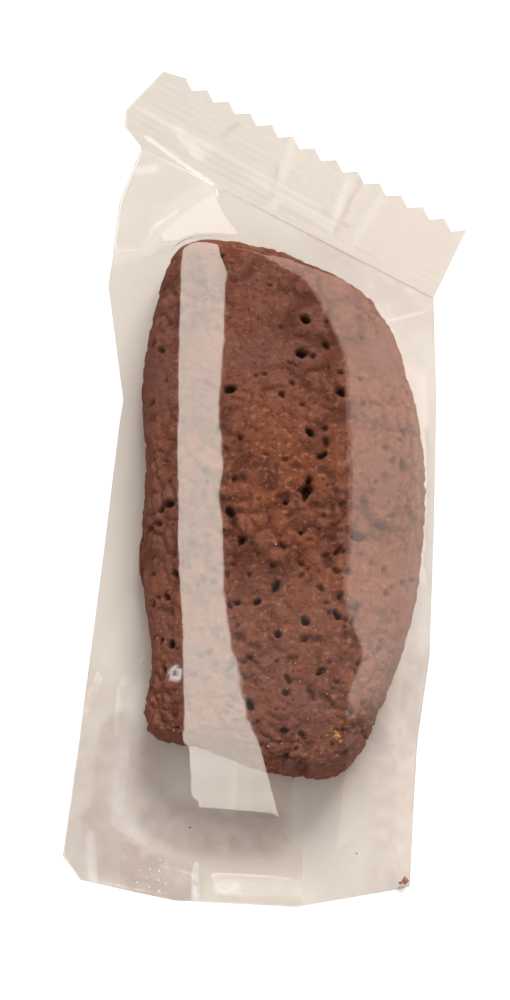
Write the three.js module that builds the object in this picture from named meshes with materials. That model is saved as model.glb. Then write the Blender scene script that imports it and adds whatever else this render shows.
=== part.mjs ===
// A financier cake sealed in a clear film pack, lying on its back with the serrated end seal towards +Y.
// The pack is one closed solid: the outer shape of the film as it stretches over the cake inside.
// Millimetres, +Z up, +X across the pack. The origin is under the middle of the pack, on the surface
// that it rests on.
import * as THREE from "three";

// Film tube and its end seal.
const FLAT_WIDTH = 55.3; // of the film tube pressed flat, which is also the length of the seal
const TOOTH_COUNT = 14; // teeth that the cutting knife leaves along the seal
const TOOTH_DEPTH = 1.4;
const SEAL_TURN = THREE.MathUtils.degToRad(-29.3); // the cake pushes the seal askew by this much
const SEAL_TIP = new THREE.Vector2(31.75, 40.8); // the tooth at the seal's right-hand end
const SEAL_ROOT_Z = 5.2; // height of the seal's inner edge
const SEAL_TIP_Z = 2.6; // height of the teeth
const BOND_THICKNESS = 0.6; // of the bonded films, as one stiff plate

// Heights of the film where it turns round from the top to the underside.
const SIDE_Z = 2.0;
const TUCK_Z = 3.2; // at the end opposite the seal, where the film is tucked under
const TUCK_BULGE = { height: 2.2, bend: 1.6, left: -11.4, right: 5.5 }; // where air holds that end open
const ROLL = 3.0; // width over which the underside curls up to that edge
const LIFT_OFF = 10; // length over which the underside leaves the table towards the seal
const INFLATION = 0.004; // curvature that trapped air gives the loose film, per millimetre
const CLEARANCE = 0.3; // of the film over the cake

// Cake.
const CAKE_HEIGHT = 15;
const CAKE_RIM_Z = 4.5; // height at which the cake is widest
const CAKE_EDGE = 5; // how far its edge is rounded inwards
const SHOULDER_POWER = 2.4; // 2 is a round shoulder, and more is a squarer one

// How far the film bends down over an end of the cake, and over each side: it changes along Y.
const END_SHOULDER = 9;
const LEFT_SHOULDER = { from: -5, to: -55, widths: [16, 22] };
const RIGHT_SHOULDER = { from: 5, to: -42, widths: [15, 5] };

// The film slumps towards the seal past a line through this point.
const SLUMP = { at: [-8, 33.5], turn: 0.25, slope: 0.6, bend: 4 };

// Flat facets that the film folds into past the cake's end, as a point and the slopes along X and Y.
const MIDDLE_FACET = { at: [-5.9, -48, 11.6], slopes: [0.16, 0.33] };
const LAST_FACET = { at: [1.7, -53.8, 10.9], slopes: [0.19, 0.6] };
const LEFT_FACET = { at: [-12.3, -52.2, 9.2], slopes: [0.72, 0.348] };
const RIGHT_FACET = { at: [1.7, -53.8, 10.9], slopes: [-0.03, 0.278] };
const FAR_RIGHT_FACET = { at: [14, -48, 11], slopes: [-0.55, 0.35] };
const END_FACETS = [MIDDLE_FACET, LAST_FACET, LEFT_FACET, RIGHT_FACET, FAR_RIGHT_FACET];
const LEFT_CREASE_X = -12.3; // of the crease at the left facet's right-hand side
const HELD_UP_Y = -38; // trapped air holds the film up below this, where it has left the cake

// The flat flange beside the tucked end: it rises past one line, and turns up as a wall past the other.
const FLANGE = { turn: 0.16, foot: [-22.7, -29], slope: 0.03, wallFoot: [-19.8, -34], wallSlope: 1.1 };

// The film between the seal and the cake's end: a tent that leans against the cake, and the film beside it.
const TENT = { at: [-8.4, 45.7, 5.3], slopes: [0.5, -0.494] };
const BESIDE_TENT = { at: [-8.4, 45.7, 5.3], slopes: [0.02, -0.1] };

// Each fold lets go of the film along Y: not at all at "from", then by up to "by", and wholly at "to".
const FACETS_END = { from: -40, to: -34, by: 8 };
const LEFT_FACET_END = { from: -48, to: -40, by: 14 };
const FLANGE_END = { from: -36, to: -8, by: 14 };
const TENT_END = { from: 38, to: 31, by: 10 };

// Outlines seen from above, as the few points that the shape turns at.
const CAKE_OUTLINE = [
  [-20.2, -14], [-19.5, 2], [-20.2, 14], [-18.5, 25.5], [-14.6, 36.8], [-5, 38.2], [6, 34.9], [17, 27.8],
  [23.4, 13.5], [25.1, -2], [23.3, -20], [18.3, -35.5], [12.6, -46], [3, -47.3], [-9, -43.6], [-19, -39.8],
  [-18.4, -28],
];
// What holds the film up is the cake and the air trapped at its ends.
const HELD_OUTLINE = [
  [-19.5, -30], [-19.5, -8], [-19.5, 14], [-19, 34], [-17.5, 46], [-10, 48.5], [0, 42.5], [8, 38],
  [17, 28.8], [23.4, 13.5], [25.1, -2], [23.3, -20], [20, -34], [16, -48], [8, -60], [-6, -62], [-16, -60],
  [-19.5, -50],
];
const TUCKED_EDGE = [
  [-29, -62.8], [-20.6, -64.7], [-14.3, -66], [-3, -66.6], [4.4, -67], [20.6, -64.2], [22, -63.8],
];
const LEFT_EDGE = [
  [-29, -62.8], [-31.75, -59.1], [-29.4, -41], [-25.9, -12.5], [-23.4, 9.2], [-22.8, 13.2], [-23.4, 17.6],
  [-25.3, 31.7], [-24.7, 36], [-23.6, 44.9], [-21.3, 50.5], [-20.1, 53.7],
];
const RIGHT_EDGE = [
  [22, -63.8], [22.8, -50], [23.4, -41], [25.4, -27.5], [26.2, -8], [26.8, 13], [26.3, 29],
];
const FOLDED_CORNER = [[-20.1, 53.7], [-22.8, 57.3], [-22.6, 60.1], [-16.7, 67]]; // the seal's bent end

// Fineness of the surface: columns across the pack, and rows along the body and along the seal.
const COLUMNS = 2 * TOOTH_COUNT;
const BODY_ROWS = 52;
const SEAL_ROWS = 5;
const ROWS = BODY_ROWS + SEAL_ROWS;
const RIM_POINTS = 240; // along each smooth outline
const CROWDING = 0.6; // of the columns towards the pack's sides, where the film turns under
const STRETCH_SWEEPS = 700; // of the relaxation that stretches the film over the cake
const EASING_SWEEPS = 2; // with which the folds are then rounded off

const { lerp, smoothstep } = THREE.MathUtils;
const toVectors = (points) => points.map(([x, y]) => new THREE.Vector2(x, y));

// A line through points, as a function of the share of its length.
function alongLine(points) {
  const path = new THREE.CurvePath();
  const vectors = toVectors(points);
  for (let i = 1; i < vectors.length; i++) path.add(new THREE.LineCurve(vectors[i - 1], vectors[i]));
  return (t) => path.getPoint(t);
}

// The toothed cut of the seal, from its left end to its right end: tips and valleys take turns.
function toothedCut(t) {
  const along = new THREE.Vector2(Math.cos(SEAL_TURN), Math.sin(SEAL_TURN));
  const inward = new THREE.Vector2(along.y, -along.x);
  const halfTooth = Math.round(t * COLUMNS);
  const isValley = halfTooth % 2 === 1 && halfTooth > 1;
  const point = SEAL_TIP.clone().addScaledVector(along, (t - 1) * FLAT_WIDTH);
  if (halfTooth === 0) point.set(...FOLDED_CORNER.at(-1));
  return isValley ? point.addScaledVector(inward, TOOTH_DEPTH) : point;
}

// A sheet between four edges that share their corners (a Coons patch).
function patch(bottom, top, left, right, u, v) {
  const mix = (a, b, t) => a.clone().lerp(b, t);
  const ruled = mix(bottom(u), top(u), v).add(mix(left(v), right(v), u));
  const corners = mix(mix(bottom(0), bottom(1), u), mix(top(0), top(1), u), v);
  return ruled.sub(corners);
}

// The plan position of every grid point: the body first, and then the seal.
function planGrid() {
  const edges = {
    tuck: alongLine(TUCKED_EDGE),
    left: alongLine(LEFT_EDGE),
    right: alongLine(RIGHT_EDGE),
    root: alongLine([LEFT_EDGE.at(-1), RIGHT_EDGE.at(-1)]),
    corner: alongLine(FOLDED_CORNER),
    end: alongLine([RIGHT_EDGE.at(-1), SEAL_TIP.toArray()]),
  };
  const grid = [];
  for (let j = 0; j <= ROWS; j++) {
    for (let i = 0; i <= COLUMNS; i++) {
      const even = i / COLUMNS;
      if (j <= BODY_ROWS) {
        const v = j / BODY_ROWS;
        const crowded = 0.5 - 0.5 * Math.cos(Math.PI * even);
        const u = lerp(even, crowded, CROWDING * (1 - smoothstep(v, 0.7, 1)));
        grid.push(patch(edges.tuck, edges.root, edges.left, edges.right, u, v));
      } else {
        const v = (j - BODY_ROWS) / SEAL_ROWS;
        grid.push(patch(edges.root, toothedCut, edges.corner, edges.end, even, v));
      }
    }
  }
  return grid;
}

// A smooth closed outline through points.
function closedRim(outline) {
  const points = outline.map(([x, y]) => new THREE.Vector3(x, y, 0));
  return new THREE.CatmullRomCurve3(points, true).getSpacedPoints(RIM_POINTS);
}
const cakeRim = closedRim(CAKE_OUTLINE);
const heldRim = closedRim(HELD_OUTLINE);

// How far a point is from a closed outline, the way to it across, and whether it is inside.
function nearestRim(rim, x, y) {
  let inside = false;
  let nearest = { gap: Infinity };
  for (let i = 1; i < rim.length; i++) {
    const a = rim[i - 1];
    const b = rim[i];
    if (a.y > y !== b.y > y && x < a.x + ((y - a.y) / (b.y - a.y)) * (b.x - a.x)) inside = !inside;
    const gap = Math.hypot(x - a.x, y - a.y);
    if (gap < nearest.gap) nearest = { gap, outX: a.x - x };
  }
  return { ...nearest, inside };
}

// The rounded rise of an edge from its outline inwards.
function crownZ(depth) {
  const rest = 1 - Math.min(depth, 1);
  return lerp(CAKE_RIM_Z, CAKE_HEIGHT, (1 - rest ** SHOULDER_POWER) ** (1 / SHOULDER_POWER));
}

const facetZ = ({ at, slopes }, x, y) => at[2] + slopes[0] * (x - at[0]) + slopes[1] * (y - at[1]);

// The width of a shoulder at y.
function shoulderAt({ from, to, widths }, y) {
  return lerp(...widths, smoothstep((y - from) / (to - from), 0, 1));
}

// How far a fold has let go of the film at y.
function release({ from, to, by }, y) {
  const share = (y - from) / (to - from);
  return share < 1 ? by * smoothstep(share, 0, 1) : Infinity;
}

// Height of the form that holds the film up, with its facets, or 0 outside its outline.
function heldZ({ x, y }) {
  const { gap, outX, inside } = nearestRim(heldRim, x, y);
  if (!inside) return 0;
  const across = (outX / gap) ** 2 || 0;
  const width = lerp(END_SHOULDER, shoulderAt(outX < 0 ? LEFT_SHOULDER : RIGHT_SHOULDER, y), across);
  const past = Math.max(y - SLUMP.at[1] + SLUMP.turn * (x - SLUMP.at[0]), 0);
  const slumped = past < SLUMP.bend ? past ** 2 / (2 * SLUMP.bend) : past - SLUMP.bend / 2;
  const round = crownZ(gap / width) - SLUMP.slope * slumped;
  const facets = END_FACETS.map((facet) => facetZ(facet, x, y) + release(FACETS_END, y));
  return Math.min(round, ...facets);
}

// Height of the cake's own rounded top, or 0 outside its outline.
function cakeZ({ x, y }) {
  const { gap, inside } = nearestRim(cakeRim, x, y);
  return inside ? crownZ(gap / CAKE_EDGE) : 0;
}

const at = (i, j) => j * (COLUMNS + 1) + i;

// Heights worked out anew at the points inside the body's border, and kept elsewhere.
function insideBorder(z, newHeight) {
  return z.map((height, k) => {
    const i = k % (COLUMNS + 1);
    const j = (k - i) / (COLUMNS + 1);
    const isInside = i > 0 && i < COLUMNS && j > 0 && j < BODY_ROWS;
    return isInside ? newHeight(height, k, j) : height;
  });
}

// Height of the film's turned edge along the body's border, and of the seal's inner edge.
function borderZ(i, j) {
  const v = Math.min(j / BODY_ROWS, 1);
  const side = lerp(lerp(TUCK_Z, SIDE_Z, smoothstep(v, 0, 0.2)), SEAL_ROOT_Z, smoothstep(v, 0.8, 1));
  return j === 0 ? TUCK_Z : side;
}

// What the film can't sink into: the cake, and past its end the air that holds the facets up.
function floorZ(point) {
  const held = heldZ(point) + CLEARANCE;
  const cake = Math.min(held, cakeZ(point) + CLEARANCE);
  return point.y < HELD_UP_Y ? held : cake;
}

// The film's upper side: a stretched sheet, blown up a little, that can't sink into what holds it up.
function stretchedSheet(plan) {
  const z = [];
  for (let j = 0; j <= ROWS; j++) {
    for (let i = 0; i <= COLUMNS; i++) z.push(borderZ(i, j));
  }
  const gap = (a, b) => plan[a].distanceTo(plan[b]) / 2;
  const floor = plan.map(floorZ);
  const relax = (k) => {
    const across = gap(k + 1, k - 1) ** -2;
    const along = gap(k + COLUMNS + 1, k - COLUMNS - 1) ** -2;
    const sideways = across * (z[k - 1] + z[k + 1]);
    const lengthways = along * (z[k - COLUMNS - 1] + z[k + COLUMNS + 1]);
    z[k] = Math.max((sideways + lengthways + INFLATION) / (2 * across + 2 * along), floor[k]);
  };
  for (let sweep = 0; sweep < STRETCH_SWEEPS; sweep++) {
    for (let j = 1; j < BODY_ROWS; j++) {
      for (let i = 1; i < COLUMNS; i++) relax(at(i, j));
    }
  }
  return z;
}

// Height of the film at a point after the folds that run inwards, which lower the stretched sheet.
function foldedZ(point, stretched, edgeZ) {
  const { x, y } = point;
  const past = ([x0, y0]) => Math.max(x - x0 - FLANGE.turn * (y - y0), 0);
  const flange = edgeZ + FLANGE.slope * past(FLANGE.foot);
  const wall = flange + FLANGE.wallSlope * past(FLANGE.wallFoot);
  const facets = Math.min(facetZ(LEFT_FACET, x, y), facetZ(LAST_FACET, x, y));
  const tent = Math.max(facetZ(BESIDE_TENT, x, y), facetZ(TENT, x, y));
  const corner = x < LEFT_CREASE_X ? Math.max(flange, facets) + release(LEFT_FACET_END, y) : Infinity;
  const folded = Math.min(stretched, wall + release(FLANGE_END, y), corner, tent + release(TENT_END, y));
  const cake = y < HELD_UP_Y ? 0 : Math.min(stretched, floorZ(point));
  return Math.max(folded, cake);
}

// The rounded end that air holds open where the film is tucked.
function tuckedEndZ(plan, i, j) {
  const { x } = plan[at(i, j)];
  const run = plan[at(i, j)].distanceTo(plan[at(i, 0)]);
  const isOpen = x > TUCK_BULGE.left && x < TUCK_BULGE.right && run < 3 * TUCK_BULGE.bend;
  const rest = 1 - Math.min(run / TUCK_BULGE.bend, 1);
  return isOpen ? TUCK_Z + TUCK_BULGE.height * Math.sqrt(1 - rest ** 2) : 0;
}

// The film's underside: flat on the table, curled up at its edges and lifted towards the seal.
function undersideZ(plan, i, j) {
  const here = plan[at(i, j)];
  const rim = Math.min(
    here.distanceTo(plan[at(0, j)]),
    here.distanceTo(plan[at(COLUMNS, j)]),
    here.distanceTo(plan[at(i, 0)]),
  );
  const flat = Math.sqrt(1 - (1 - Math.min(rim / ROLL, 1)) ** 2);
  const toSeal = here.distanceTo(plan[at(i, BODY_ROWS)]);
  const lifted = SEAL_ROOT_Z * (1 - smoothstep(toSeal, 0, LIFT_OFF));
  return Math.max(borderZ(i, j) * (1 - flat), lifted);
}

// The film's upper side with its folds, rounded off a little.
function topSheet(plan) {
  const stretched = stretchedSheet(plan);
  let z = insideBorder(stretched, (height, k, j) => foldedZ(plan[k], height, stretched[at(0, j)]));
  for (let sweep = 0; sweep < EASING_SWEEPS; sweep++) {
    const before = z;
    z = insideBorder(before, (height, k) => {
      const around = before[k - 1] + before[k + 1] + before[k - COLUMNS - 1] + before[k + COLUMNS + 1];
      return lerp(height, around / 4, 0.5);
    });
  }
  return z;
}

// The points of the upper and lower sides, a bond's thickness apart where the two films meet.
function sheetPoints(plan) {
  const top = topSheet(plan);
  const half = BOND_THICKNESS / 2;
  const upper = [];
  const lower = [];
  for (let j = 0; j <= ROWS; j++) {
    const sealZ = lerp(SEAL_ROOT_Z, SEAL_TIP_Z, Math.max(j - BODY_ROWS, 0) / SEAL_ROWS);
    const isSeal = j >= BODY_ROWS;
    for (let i = 0; i <= COLUMNS; i++) {
      const { x, y } = plan[at(i, j)];
      const isBonded = isSeal || i === 0 || i === COLUMNS || j === 0;
      const high = isSeal ? sealZ : Math.max(top[at(i, j)], tuckedEndZ(plan, i, j));
      const low = isSeal ? sealZ : undersideZ(plan, i, j);
      upper.push([x, y, isBonded ? high + half : high]);
      lower.push([x, y, isBonded ? low - half : Math.max(low - half, 0)]);
    }
  }
  return { upper, lower };
}

// The pack: two grids of points, joined round their border.
function packGeometry() {
  const { upper, lower } = sheetPoints(planGrid());
  const lowerAt = (i, j) => upper.length + at(i, j);
  const faces = [];
  const quad = (a, b, c, d) => faces.push(a, b, c, a, c, d);
  for (let j = 0; j < ROWS; j++) {
    for (let i = 0; i < COLUMNS; i++) {
      quad(at(i, j), at(i + 1, j), at(i + 1, j + 1), at(i, j + 1));
      quad(lowerAt(i, j), lowerAt(i, j + 1), lowerAt(i + 1, j + 1), lowerAt(i + 1, j));
    }
    quad(lowerAt(0, j), at(0, j), at(0, j + 1), lowerAt(0, j + 1));
    quad(at(COLUMNS, j), lowerAt(COLUMNS, j), lowerAt(COLUMNS, j + 1), at(COLUMNS, j + 1));
  }
  for (let i = 0; i < COLUMNS; i++) {
    quad(at(i, 0), lowerAt(i, 0), lowerAt(i + 1, 0), at(i + 1, 0));
    quad(lowerAt(i, ROWS), at(i, ROWS), at(i + 1, ROWS), lowerAt(i + 1, ROWS));
  }
  const geometry = new THREE.BufferGeometry();
  geometry.setAttribute("position", new THREE.Float32BufferAttribute([...upper, ...lower].flat(), 3));
  geometry.setIndex(faces);
  geometry.computeVertexNormals();
  return geometry;
}

const clearFilm = new THREE.MeshStandardMaterial({
  color: 0xded5ca,
  roughness: 0.15,
  metalness: 0,
  transparent: true,
  opacity: 0.4,
});

const pack = new THREE.Mesh(packGeometry(), clearFilm);
pack.name = "film_pack";

const part = new THREE.Group();
part.add(pack);
export default part;
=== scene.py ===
import math

import bpy
import numpy as np
from mathutils import Matrix, Vector


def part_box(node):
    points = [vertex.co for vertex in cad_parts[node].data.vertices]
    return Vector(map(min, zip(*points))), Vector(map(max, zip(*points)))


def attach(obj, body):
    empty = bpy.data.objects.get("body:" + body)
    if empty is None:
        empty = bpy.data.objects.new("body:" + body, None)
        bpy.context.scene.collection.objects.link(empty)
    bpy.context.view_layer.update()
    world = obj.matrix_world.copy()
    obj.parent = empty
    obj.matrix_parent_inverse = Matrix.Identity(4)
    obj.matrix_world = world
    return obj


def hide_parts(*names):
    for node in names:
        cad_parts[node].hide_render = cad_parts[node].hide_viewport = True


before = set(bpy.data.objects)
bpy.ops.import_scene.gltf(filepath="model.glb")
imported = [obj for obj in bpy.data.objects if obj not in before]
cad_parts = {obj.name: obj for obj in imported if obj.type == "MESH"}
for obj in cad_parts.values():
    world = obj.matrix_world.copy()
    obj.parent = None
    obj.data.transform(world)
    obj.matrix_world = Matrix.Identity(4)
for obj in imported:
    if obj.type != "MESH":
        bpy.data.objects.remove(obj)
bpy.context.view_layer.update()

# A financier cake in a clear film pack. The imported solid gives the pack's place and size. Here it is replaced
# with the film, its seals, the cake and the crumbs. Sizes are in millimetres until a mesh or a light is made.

MM = 0.001
NODE = "film_pack"
BODY = "root"
LOW, HIGH = (np.array(corner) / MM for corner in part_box(NODE))
FLOOR_Z = LOW[2]

# ---- sizes ----

# Film tube and its end seal, as in the solid.
FLAT_WIDTH = 55.3
TOOTH_COUNT = 14
TOOTH_DEPTH = 1.4
SEAL_TURN = math.radians(-29.3)
SEAL_TIP = (HIGH[0], 40.8)
SEAL_ROOT_Z, SEAL_TIP_Z = 5.2, 2.6
SEAL_WIDTH = 12
SEAL_THICKNESS = 0.12
SEAL_RIB_PITCH = 1.25
SEAL_RIB_HEIGHT = 0.01
SEAL_RIBS_FROM = (0.2, 2.5)  # where ribs and creases set in past the body
SEAL_CREASE_HEIGHT = 0.06
SEAL_WARP, SEAL_WARP_SIZE = 0.08, 9
SIDE_Z, TUCK_Z = 2, 3.2
SIDES_LEVEL = (0.2, 0.8)  # the sides are level between these shares of their length
ROLL = 1.2
LIFT_OFF = 6
INFLATION = 0.004
CLEARANCE = 0.3

# The cake.
CAKE_HEIGHT = 15
CAKE_RIM_Z = 4.5
CAKE_BASE_Z = 0.5
CAKE_EDGE = 5  # how far the cake's own edge is rounded
CAKE_BASE_SHARE = 0.84  # the base's size as a share of the rim's
SHOULDER_POWER = 2.4

CAKE_OUTLINE = [
    (-20.2, -14), (-19.5, 2), (-20.2, 14), (-18.5, 25.5), (-14.6, 36.8), (-5, 38.2), (6, 34.9), (17, 27.8),
    (23.4, 13.5), (25.1, -2), (23.3, -20), (18.3, -35.5), (12.6, -46), (3, -47.3), (-9, -43.6), (-19, -39.8),
    (-18.4, -28),
]
# The corners of the cake's mesh: the tucked end's left and right, and the seal end's right and left.
CAKE_CORNERS = [(-19, -39.8), (14, -44), (19, 25), (-14.6, 36.8)]
# The outline of what holds the film up: the cake, and the air at both ends of its left side.
HELD_OUTLINE = [
    (-19.5, -30), (-19.5, -8), (-19.5, 14), (-19, 34), (-17.5, 46), (-10, 48.5), (0, 42.5), (8, 38),
    (17, 28.8), (23.4, 13.5), (25.1, -2), (23.3, -20), (20, -34), (16, -48), (8, -63), (-6, -65),
    (-17.5, -63), (-19.8, -52),
]
TUCKED_EDGE = [
    (-29, -62.8), (-20.6, -64.7), (-14.3, -66), (-3, -66.6), (4.4, -67), (20.6, -64.2), (22, -63.8),
]
LEFT_EDGE = [
    (-29, -62.8), (-31.75, -59.1), (-29.4, -41), (-25.9, -12.5), (-23.4, 9.2), (-22.8, 13.2), (-23.4, 17.6),
    (-25.3, 31.7), (-24.7, 36), (-23.6, 44.9), (-21.3, 50.5), (-20.1, 53.7),
]
RIGHT_EDGE = [
    (22, -63.8), (22.8, -50), (23.4, -41), (25.4, -27.5), (26.2, -8), (26.8, 13), (26.3, 29),
]
FOLDED_CORNER = [(-20.1, 53.7), (-22.8, 57.3), (-22.6, 60.1), (-16.7, 67)]

# How wide the film's shoulders are: at first, and then with each change (from y, to y, new width).
RIGHT_SHOULDER = (12.5, (20, 2, 16), (-17, -34, 5))
LEFT_SHOULDER = (16, (-5, -55, 22))
END_SHOULDER = 9
LEFT_BEND = 2.81  # how fast the slope grows towards the left side, where it is 45 degrees

# The film falls towards the end seal past a leaning line through a point, rounded at first.
FALL_START, FALL_LEAN = (-8, 33.5), -0.25
FALL_SLOPE, FALL_ROUNDING = 0.6, 4

# The film's flat facets past the cake's end, as (point, slope along x, slope along y).
CREASE_LEFT, CREASE_RIGHT = (-12.3, -52.2, 9.2), (1.7, -53.8, 10.9)
FACETS = {
    "middle": ((-5.9, -48, 11.6), 0.16, 0.33),
    "beyond": (CREASE_RIGHT, 0.19, 0.6),
    "left": (CREASE_LEFT, 0.6, 0.348),
    "right": (CREASE_RIGHT, -0.03, 0.278),
    "far_right": ((14, -48, 11), -0.55, 0.35),
}
# The film's tent at the cake's top left, as two facets, and its slope beside it.
TENT = [((-9.6, 45.7, 5.3), 0.5, -0.494), ((-17.1, 39, 4.85), 1.2, -0.2)]
TENT_SIDE_SLOPE = -0.06

# The left side's flange and the wall that rises from it, from leaning lines through points.
FLANGE_START, FLANGE_SLOPE = (-22.7, -29), 0.03
WALL_START, WALL_SLOPE = (-19.8, -34), 1.4
FOLD_LEAN = 0.16
WALL_MAX_X, CORNER_MAX_X = -15, -11.3

# Where facets and folds let the film go, as (by how much, from y, to y).
FACETS_RELEASE = (8, -40, -34)
WALL_RELEASE = (14, -36, -8)
CORNER_RELEASE = (14, -43.5, -39)
TENT_RELEASE = (10, 38, 31)
TENT_MIN_Y = 30
AIR_MAX_Y = -38  # past this, air holds the film up where the cake does not
TOUCHING_END = (-36, -42)  # where along y the film leaves the cake
WOBBLES = [(0.035, 4.8, 21), (0.01, 2.2, 22), (0.005, 1, 23)]  # waves of film on the cake

# The softening of the creases where the facets run out over the cake.
EASING_WEIGHT, EASING_PASSES, EASING_DEPTH = 0.8, 40, 0.2
EASING_Y, EASING_REACH = -36, (3, 8)

# The rounded end of the tucked film, and where along x it rises and falls.
TUCK_BULGE, TUCK_BEND = 2.2, 1.6
TUCK_SLOPE, TUCK_SLOPE_X = 0.072, -11
TUCK_RISE, TUCK_FALL = (-9.6, -8.4), (4.5, 6.5)

# What is folded flat under the pack: the fin seal and the other end's seal.
FIN_LINE = [(4.3, 32), (3.4, 20), (1.5, -10), (-0.6, -53)]
FIN_WIDTH = 9
FIN_RIB_HEIGHT = 0.02
FLAP_LINE = [(-17.5, -60.6), (-0.5, -61)]
FLAP_DEPTH = 10.5
FLAP_ENDS = (-23, 5.4)
FLAP_INSET = 0.5
UNDER_GAP, UNDER_BLEND, UNDER_Z = 0.32, 1.5, 0.1

# The cake's lumps, clumps and grains, as (share of the warp, size, seed), and waves, as (height, size, seed).
CRUMB_CELLS = [(1.3, 5.2, 7), (1, 3.4, 3), (0.6, 1.25, 4)]
WARP_WAVES = ([(0.9, 2.4, 31), (0.35, 0.9, 33)], [(0.9, 2.4, 32), (0.35, 0.9, 34)])
UNROLL = (0.05, 0.02)  # how much wider the pattern gets per mm down the sides
VALLEY_WIDTH = (0.04, 0.42)
VALLEY_WAVES, VALLEY_RANGE = [(1, 8, 14), (0.5, 3, 16)], (0, 0.55)
VALLEYS_ALONG = (0.85, (-12, -24, 0.5))
BROKEN_WAVES, BROKEN_RANGE = [(1, 9, 12), (0.25, 4, 13)], (-0.45, 0.5)
BROKEN_SLOPE = 0.006
SWELL_WAVES = [(0.3, 7.5, 1)]
BUMP_WAVES = [(0.16, 3.1, 2), (0.06, 0.7, 5), (0.03, 0.38, 6)]
RAGGED_WAVES = [(0.3, 0.9, 9), (0.16, 0.4, 11)]
# How clumps and grains are rounded, as (width, power, level), and how high they are whole and broken.
CELL_SHAPES = [(0.5, 0.6, 0.8), (0.6, 0.7, 0.6)]
CELL_HEIGHTS = [(0.2, 0.62), (0.08, 0.22)]
# How strongly the painted highlight on crests and the painted shade on low crumb show, along y.
CONTRAST_ALONG = (1, (-8, -24, 0.65))
CRUMB_DEPTH, VALLEY_DEPTH = 0.42, 0.45
CRUMB_FADE = 2  # the crumb sets in over this height above the base
CAKE_LOWEST_Z = FLOOR_Z + 0.25
CAKE_SOFTENING = (0.8, 60)  # (weight, passes)
BASE_RINGS = (0.93, 0.84, 0.72, 0.58, 0.42, 0.26, 0.1)

# Fineness of the meshes.
COLUMNS = 10 * TOOTH_COUNT
BODY_ROWS = 272
SEAL_ROWS = 60
FIN_ROWS, FIN_COLUMNS = 340, 31
FLAP_ROWS, FLAP_COLUMNS = 91, 221
CAKE_COLUMNS, CAKE_ROWS = 176, 336
BODY_CROWDING = (0.6, (0.7, 1, 0))  # of columns towards the sides, along the body
CAKE_CROWDING = 0.5
RIM_POINTS = 480
CURVE_STEPS = 24
STRETCH_PASSES = [(4, 700), (2, 250), (1, 120)]  # (grid step, passes)
STRETCH_OVERSHOOT = 1.7

# ---- marks ----

# Where the film is painted white along lines: painted highlights and reflections on folds, the rolled end and a
# glint ring, and milky haze, as (strength, half width, line).
TUBE_HIGHLIGHTS_AND_MILK = [
    (0.45, 1.1, [(-20.6, -33), (-22.8, -45.7), (-23.4, -53.6)]),
    (0.4, 1.3, [(-22.8, -54), (-18.6, -56.6), (-15.6, -59.3), (-13.4, -62.6)]),
    (0.6, 0.8, [(-27.5, -55.9), (-27, -62.8)]),
    (2.2, 0.5, [(-11.1, -60.6), (-11.2, -66.6)]),
    (0.55, 1.9, [(-8, -64.6), (4.6, -64.6)]),
    (1.1, 1.6, [(-6.5, -64.5), (-5.3, -64.5)]),
    (0.06, 6, [(12, -59), (19, -57)]),
    (0.06, 13, [(2, -30), (10, -34)]),
    (0.15, 2.5, [(21, -42), (25, -10), (25.5, 20)]),
    (0.2, 0.4, [(-23.3, 43.6), (-15.6, 45.3)]),
    (0.5, 0.25, [(18.6, 24.4), (25.2, 27)]),
    (1.7, 0.38, [(-15, -31.6), (-14.3, -30.9), (-13.4, -31.7), (-13.8, -32.7), (-14.7, -32.5), (-15, -31.6)]),
    (0.7, 0.7, [(-20.4, 49.9), (-17.9, 50.3)]),
]
# Creases that have lost their gloss, in the same terms.
TUBE_DULL = [
    (1, 2.6, [(-20, -22), (-23, -49), (-23.4, -54), (-18, -62), (-12.6, -64)]),
    (0.8, 2.4, [(-27.8, -33), (-27.4, -38)]),
    (0.8, 2.4, [(-26, -33), (-20, -21)]),
    (0.9, 1.5, [(-9.5, 47.2), (-13.6, 44.4), (-17.9, 40.6), (-19.2, 36.7), (-25, 36.5)]),
    (1, 4.5, [(17.5, 31.5), (22.5, 28), (25.5, 21.5)]),
    (0.9, 1.3, [(26.2, 24), (26.5, 10), (26.4, 0), (25.8, -18)]),
    (0.27, 4.2, [(-11.5, -50.5), (0, -52)]),
    (0.8, 3.2, [(-9, -64.8), (5, -64.8)]),
    (0.8, 2, [(-27, -62.6), (-14.3, -65.6), (-10, -66)]),
    (1, 1.8, [(25.4, -18), (23.7, -27), (22.2, -35), (21.3, -43)]),
    (0.4, 1.8, [(21.5, -43), (21, -62)]),
    (1, 3.6, [(17.2, -43), (16.2, -62)]),
    (0.55, 5.5, [(14, -41.5), (21, -40.5)]),
]
# Where the film is darker: painted shade near the cake, with a pink cast for light bounced off it, and film
# folded over itself at the left, in the same terms.
TUBE_SHADE_AND_FOLDS = [
    (1, 4, [(-25.6, -54), (-24, -59.5), (-14.8, -64)]),
    (0.85, 3.5, [(-23.5, -40), (-24.8, -50)]),
    (0.5, 4.5, [(-25.2, -48), (-25.6, -54)]),
    (0.5, 5.5, [(-29.5, -34), (-31, -60)]),
    (0.5, 4, [(-18.8, -44), (-19, -54)]),
    (0.8, 4, [(-17, -54), (-9, -55.8), (-1, -55.8)]),
    (0.45, 6.5, [(16, -43), (20.5, -50), (20.5, -64)]),
    (0.6, 3.5, [(20, -34), (17.5, -42)]),
    (0.3, 7, [(13, 38), (25, 31)]),
    (0.55, 3.5, [(24.5, -30), (23.5, -50)]),
]
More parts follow.
